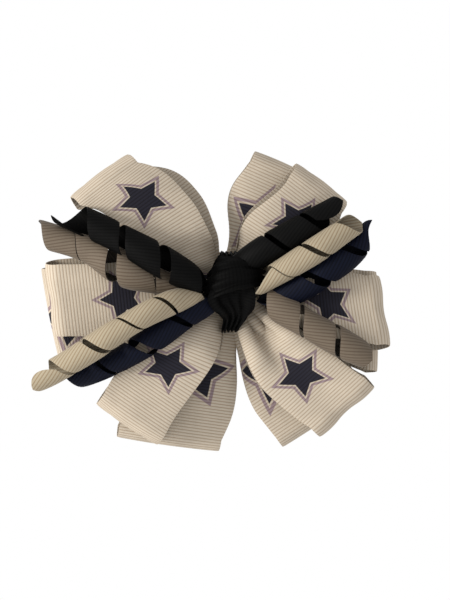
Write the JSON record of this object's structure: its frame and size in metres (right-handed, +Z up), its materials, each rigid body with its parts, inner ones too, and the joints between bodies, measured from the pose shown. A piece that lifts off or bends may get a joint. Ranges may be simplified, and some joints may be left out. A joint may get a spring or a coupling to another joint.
{
  "type": "cheer hair bow",
  "caption": "Double-layer pinwheel hair bow of printed grosgrain ribbon with corkscrew curls, a knotted centre and a sprung alligator clip behind.",
  "frame": {"origin": "the middle of the clip's bite, straight behind the middle of the knot", "axes": "+X to the right as the bow is looked at and along the clip, +Z up, and the bow faces -Y, away from the head"},
  "size_m": [0.1054, 0.0429, 0.0914],
  "materials": {
    "printed_ribbon": "matte",
    "black_ribbon": "matte",
    "navy_ribbon": "matte",
    "taupe_ribbon": "matte",
    "ivory_ribbon": "matte",
    "thread": "matte",
    "hot_glue": "satin",
    "nickel_plate": "satin"
  },
  "bodies": {
    "bow": {"front_ribbon_level": "printed_ribbon", "front_ribbon_rising": "printed_ribbon", "front_ribbon_falling": "printed_ribbon", "back_ribbon_level": "printed_ribbon", "back_ribbon_rising": "printed_ribbon", "back_ribbon_falling": "printed_ribbon", "navy_curl_strip": "navy_ribbon", "taupe_curl_strip": "taupe_ribbon", "black_curl_strip": "black_ribbon", "ivory_curl_strip": "ivory_ribbon", "centre_knot": "black_ribbon", "binding_thread": "thread", "glue_pad": "hot_glue", "clip_lining": "black_ribbon", "clip_upper_arm": "nickel_plate", "hinge_pin": "nickel_plate", "torsion_spring": "nickel_plate"},
    "lower_jaw": {"clip_lower_arm": "nickel_plate"}
  },
  "joints": [
    {"name": "clip_hinge", "type": "hinge", "parent": "bow", "child": "lower_jaw", "pos_m": [0.008, 0.0024, 0], "axis": [0, 0, -1], "range_deg": [0, 26], "stiffness_Nm_per_rad": 0.04, "springref_deg": -68.75, "deforming": ["torsion_spring"]}
  ]
}
